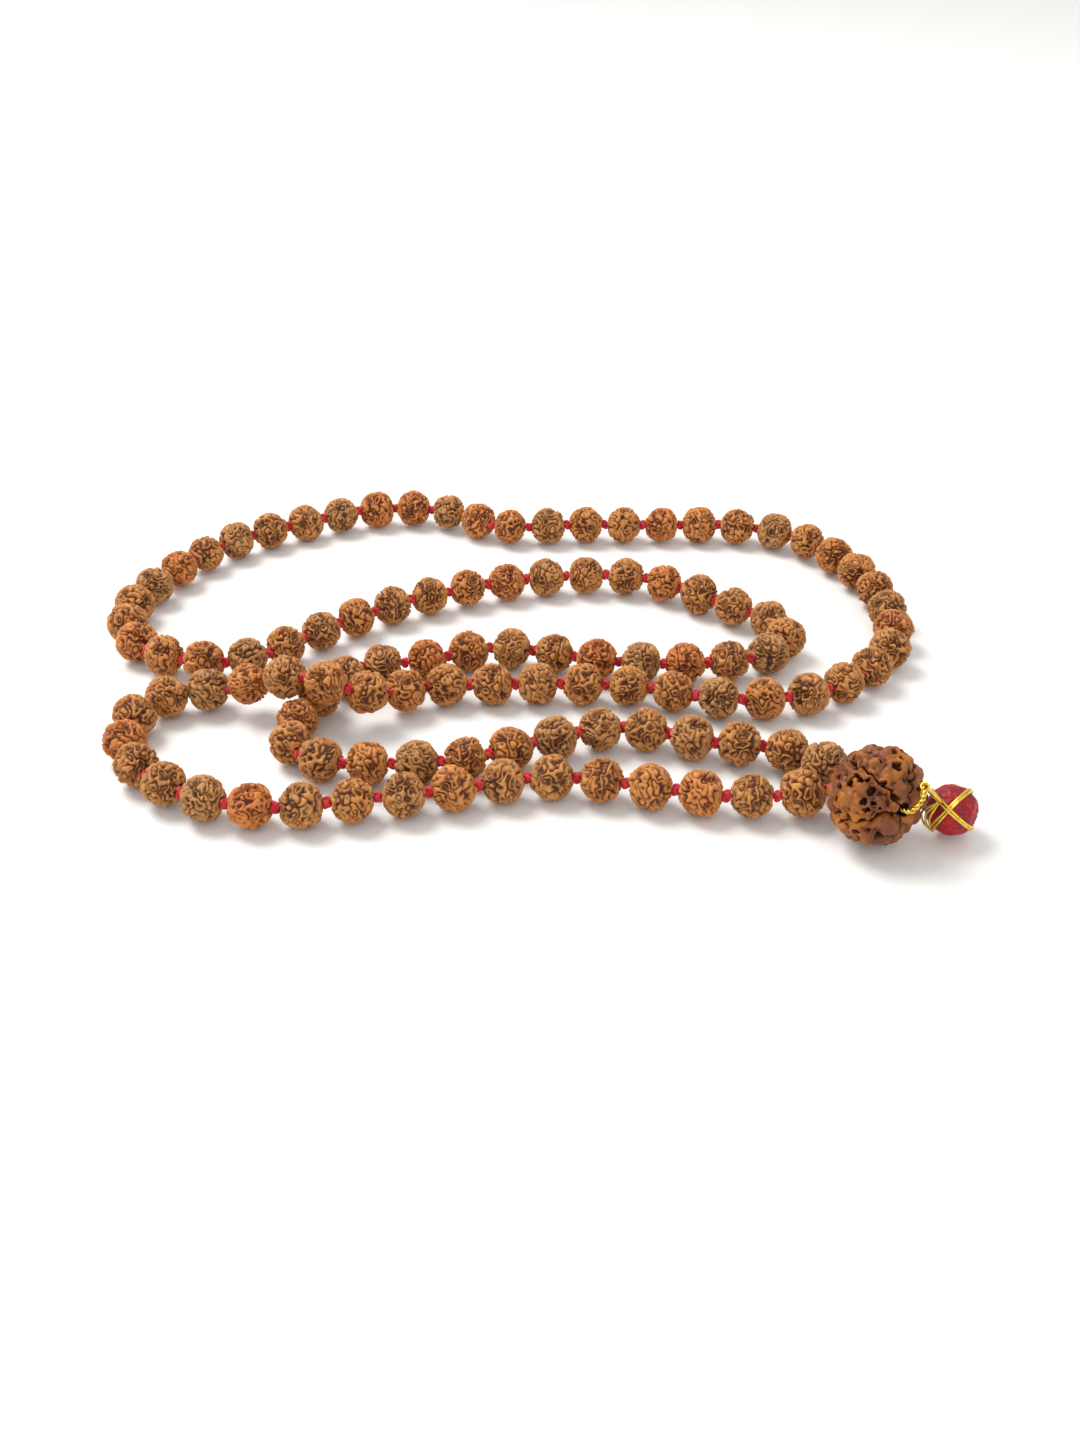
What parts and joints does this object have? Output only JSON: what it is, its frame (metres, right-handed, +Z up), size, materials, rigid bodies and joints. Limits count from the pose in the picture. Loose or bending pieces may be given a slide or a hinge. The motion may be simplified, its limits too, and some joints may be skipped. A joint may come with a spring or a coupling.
{
  "type": "mala prayer beads",
  "caption": "Closed loop of small ridged seed beads knotted on red thread, with a large grooved guru bead and a round red bead caged in gold wire.",
  "frame": {"origin": "middle of the laid-out mala's outline, on the surface that it lies on", "axes": "+X towards the guru bead's end, +Y away from the guru bead across the coil, +Z up"},
  "size_m": [0.1738, 0.144, 0.0181],
  "materials": {
    "seed_bead": "matt, ridged seed stone",
    "guru_seed": "dark seed stone, polished on the high places",
    "thread": "twisted cotton thread, knotted",
    "gold_wire": "bright drawn wire",
    "crimson_bead": "wrinkled, half gloss"
  },
  "bodies": {
    "resting_rows": {"beads_005_006": "seed_bead", "beads_007_008": "seed_bead", "beads_009_010": "seed_bead", "beads_011_012": "seed_bead", "beads_021_022": "seed_bead", "beads_023_024": "seed_bead", "beads_025_026": "seed_bead", "beads_027_028": "seed_bead", "beads_029_030": "seed_bead", "beads_031_032": "seed_bead", "beads_043_045": "seed_bead", "beads_046_048": "seed_bead", "beads_049_051": "seed_bead", "beads_052_054": "seed_bead", "beads_065_066": "seed_bead", "beads_067_068": "seed_bead", "beads_069_070": "seed_bead", "beads_071_072": "seed_bead", "beads_073_074": "seed_bead", "beads_075_076": "seed_bead", "beads_077_078": "seed_bead", "beads_085_086": "seed_bead", "beads_087_088": "seed_bead", "beads_089_090": "seed_bead", "beads_091_092": "seed_bead", "beads_093_094": "seed_bead", "beads_095_096": "seed_bead", "beads_097_098": "seed_bead", "beads_099_100": "seed_bead", "beads_101_102": "seed_bead", "beads_103_104": "seed_bead"},
    "left_bend": {"beads_013_014": "seed_bead", "beads_015_016": "seed_bead", "beads_017_018": "seed_bead", "beads_019_020": "seed_bead"},
    "right_bend": {"beads_033_034": "seed_bead", "beads_041_042": "seed_bead"},
    "right_bend_tip": {"beads_035_036": "seed_bead", "beads_037_038": "seed_bead", "beads_039_040": "seed_bead"},
    "far_left_bend": {"beads_055_056": "seed_bead", "beads_057_058": "seed_bead", "beads_059_060": "seed_bead", "beads_061_062": "seed_bead", "beads_063_064": "seed_bead"},
    "inner_bend": {"beads_079_080": "seed_bead", "beads_081_082": "seed_bead", "beads_083_084": "seed_bead"},
    "guru_end": {"beads_003_004": "seed_bead", "beads_105_106": "seed_bead"},
    "guru_tip": {"beads_001_002": "seed_bead", "beads_107_108": "seed_bead", "guru_strands": "thread"},
    "bore_core": {"bore_thread": "thread", "wire_stem": "gold_wire"},
    "guru_bead": {"guru_bead": "guru_seed"},
    "neck": {"neck_coil": "gold_wire"},
    "pendant": {"wire_cage": "gold_wire", "red_bead": "crimson_bead"}
  },
  "joints": [
    {"name": "left_bend_lift", "type": "hinge", "parent": "resting_rows", "child": "left_bend", "pos_m": [-0.04951, -0.05905, 0.004], "axis": [0.0705, 0.99, 0.122], "range_deg": [0, 40]},
    {"name": "right_bend_lift", "type": "hinge", "parent": "resting_rows", "child": "right_bend", "pos_m": [0.05633, -0.02268, 0.004], "axis": [-0.1489, -0.9889, 0], "range_deg": [0, 40]},
    {"name": "right_bend_tip_lift", "type": "hinge", "parent": "right_bend", "child": "right_bend_tip", "pos_m": [0.07222, -0.01379, 0.004], "axis": [-0.1106, -0.9939, 0], "range_deg": [0, 40]},
    {"name": "far_left_bend_lift", "type": "hinge", "parent": "resting_rows", "child": "far_left_bend", "pos_m": [-0.03781, 0.06568, 0.004], "axis": [0.4783, 0.8782, 0], "range_deg": [0, 40]},
    {"name": "inner_bend_lift", "type": "hinge", "parent": "resting_rows", "child": "inner_bend", "pos_m": [0.039, 0.02485, 0.004], "axis": [0.0788, -0.9969, 0], "range_deg": [0, 45]},
    {"name": "guru_end_lift", "type": "hinge", "parent": "resting_rows", "child": "guru_end", "pos_m": [0.0227, -0.05265, 0.004], "axis": [-0.4686, -0.8834, 0], "range_deg": [0, 40]},
    {"name": "guru_tip_lift", "type": "hinge", "parent": "guru_end", "child": "guru_tip", "pos_m": [0.04072, -0.05639, 0.00393], "axis": [-0.4676, -0.8839, 0.0034], "range_deg": [0, 32]},
    {"name": "guru_tilt", "type": "hinge", "parent": "guru_tip", "child": "bore_core", "pos_m": [0.0624, -0.05654, 0.0074], "axis": [-0.8882, -0.4594, 0], "range_deg": [0, 35]},
    {"name": "guru_spin", "type": "hinge", "parent": "bore_core", "child": "guru_bead", "pos_m": [0.066, -0.0635, 0.009], "axis": [0.4501, -0.8703, 0.2001], "continuous": true},
    {"name": "pendant_swing", "type": "hinge", "parent": "bore_core", "child": "neck", "pos_m": [0.073, -0.0681, 0.0139], "axis": [0, 0, 1], "range_deg": [-60, 0]},
    {"name": "pendant_lift", "type": "hinge", "parent": "neck", "child": "pendant", "pos_m": [0.073, -0.0681, 0.0139], "axis": [0.6508, -0.7593, 0], "range_deg": [0, 50]}
  ]
}
